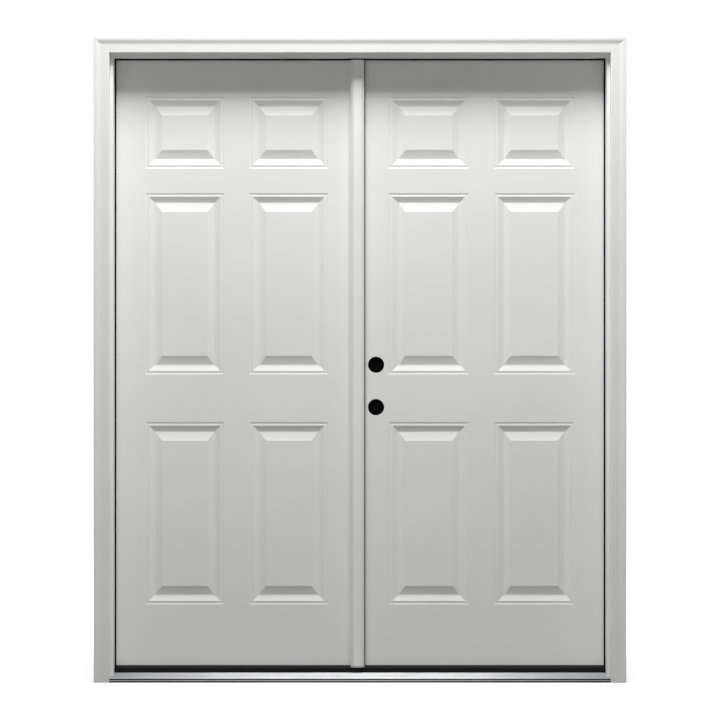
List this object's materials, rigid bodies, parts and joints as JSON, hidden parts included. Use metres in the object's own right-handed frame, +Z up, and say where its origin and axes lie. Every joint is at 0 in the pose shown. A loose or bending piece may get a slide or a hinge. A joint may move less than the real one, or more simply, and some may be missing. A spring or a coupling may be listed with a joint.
{
  "type": "prehung double entry door",
  "caption": "Prehung inswing double entry door: pressed-panel steel leaves on hinges in a rabbeted wood frame with brickmould, astragal, weatherstrip and metal sill.",
  "frame": {"origin": "sill underside, midway between the jambs, in the plane of the jambs' outside edge", "axes": "+Z up, +Y into the room, +X to the right seen from outside"},
  "size_m": [1.7398, 0.1609, 2.1082],
  "materials": {
    "primed_steel": "white primer, satin",
    "primed_wood": "white primer, satin",
    "stile_wood": "bare laminated pine",
    "foam_core": "polyurethane foam",
    "foam_seal": "matt black foam",
    "sweep_vinyl": "satin black vinyl",
    "astragal_paint": "white, satin",
    "end_pad": "matt light grey foam",
    "sill_aluminium": "mill, satin",
    "sill_composite": "matt grey",
    "cap_composite": "matt black",
    "hinge_steel": "satin nickel",
    "strike_steel": "zinc plated",
    "bolt_steel": "zinc plated"
  },
  "bodies": {
    "frame": {"active_hinge_jamb_leaf_lower": "hinge_steel", "active_hinge_jamb_leaf_middle": "hinge_steel", "active_hinge_jamb_leaf_upper": "hinge_steel", "active_hinge_pin_lower": "hinge_steel", "active_hinge_pin_middle": "hinge_steel", "active_hinge_pin_upper": "hinge_steel", "brickmould_head": "primed_wood", "brickmould_left": "primed_wood", "brickmould_right": "primed_wood", "corner_pad_left": "foam_seal", "corner_pad_right": "foam_seal", "head_strike": "strike_steel", "inactive_hinge_jamb_leaf_lower": "hinge_steel", "inactive_hinge_jamb_leaf_middle": "hinge_steel", "inactive_hinge_jamb_leaf_upper": "hinge_steel", "inactive_hinge_pin_lower": "hinge_steel", "inactive_hinge_pin_middle": "hinge_steel", "inactive_hinge_pin_upper": "hinge_steel", "jamb_head": "primed_wood", "jamb_left": "primed_wood", "jamb_right": "primed_wood", "sill_base": "sill_composite", "sill_cap": "cap_composite", "sill_deck": "sill_aluminium", "sill_strike": "strike_steel", "weatherstrip_head": "foam_seal", "weatherstrip_left": "foam_seal", "weatherstrip_right": "foam_seal"},
    "active_leaf": {"active_bottom_rail": "stile_wood", "active_core": "foam_core", "active_exterior_skin": "primed_steel", "active_hinge_slab_leaf_lower": "hinge_steel", "active_hinge_slab_leaf_middle": "hinge_steel", "active_hinge_slab_leaf_upper": "hinge_steel", "active_hinge_stile": "stile_wood", "active_interior_skin": "primed_steel", "active_lock_block": "stile_wood", "active_lock_stile": "stile_wood", "active_sweep": "sweep_vinyl", "active_top_rail": "stile_wood"},
    "inactive_leaf": {"astragal": "astragal_paint", "astragal_end_pad": "end_pad", "astragal_seal": "foam_seal", "inactive_bottom_rail": "stile_wood", "inactive_core": "foam_core", "inactive_exterior_skin": "primed_steel", "inactive_hinge_slab_leaf_lower": "hinge_steel", "inactive_hinge_slab_leaf_middle": "hinge_steel", "inactive_hinge_slab_leaf_upper": "hinge_steel", "inactive_hinge_stile": "stile_wood", "inactive_interior_skin": "primed_steel", "inactive_meeting_stile": "stile_wood", "inactive_sweep": "sweep_vinyl", "inactive_top_rail": "stile_wood"},
    "flush_bolt_top": {"flush_bolt_top": "bolt_steel"},
    "flush_bolt_bottom": {"flush_bolt_bottom": "bolt_steel"}
  },
  "joints": [
    {"name": "active_hinge", "type": "hinge", "parent": "frame", "child": "active_leaf", "pos_m": [0.8191, 0.12275, 1.1], "axis": [0, 0, -1], "range_deg": [0, 110]},
    {"name": "inactive_hinge", "type": "hinge", "parent": "frame", "child": "inactive_leaf", "pos_m": [-0.8191, 0.12275, 1.1], "axis": [0, 0, 1], "range_deg": [0, 99]},
    {"name": "top_bolt_slide", "type": "slide", "parent": "inactive_leaf", "child": "flush_bolt_top", "axis": [0, 0, 1], "range_m": [0, 0.018]},
    {"name": "bottom_bolt_slide", "type": "slide", "parent": "inactive_leaf", "child": "flush_bolt_bottom", "axis": [0, 0, -1], "range_m": [0, 0.018]}
  ],
  "couplings": [
    {"joint": "inactive_hinge", "follows": "active_hinge", "ratio": 0.9}
  ]
}
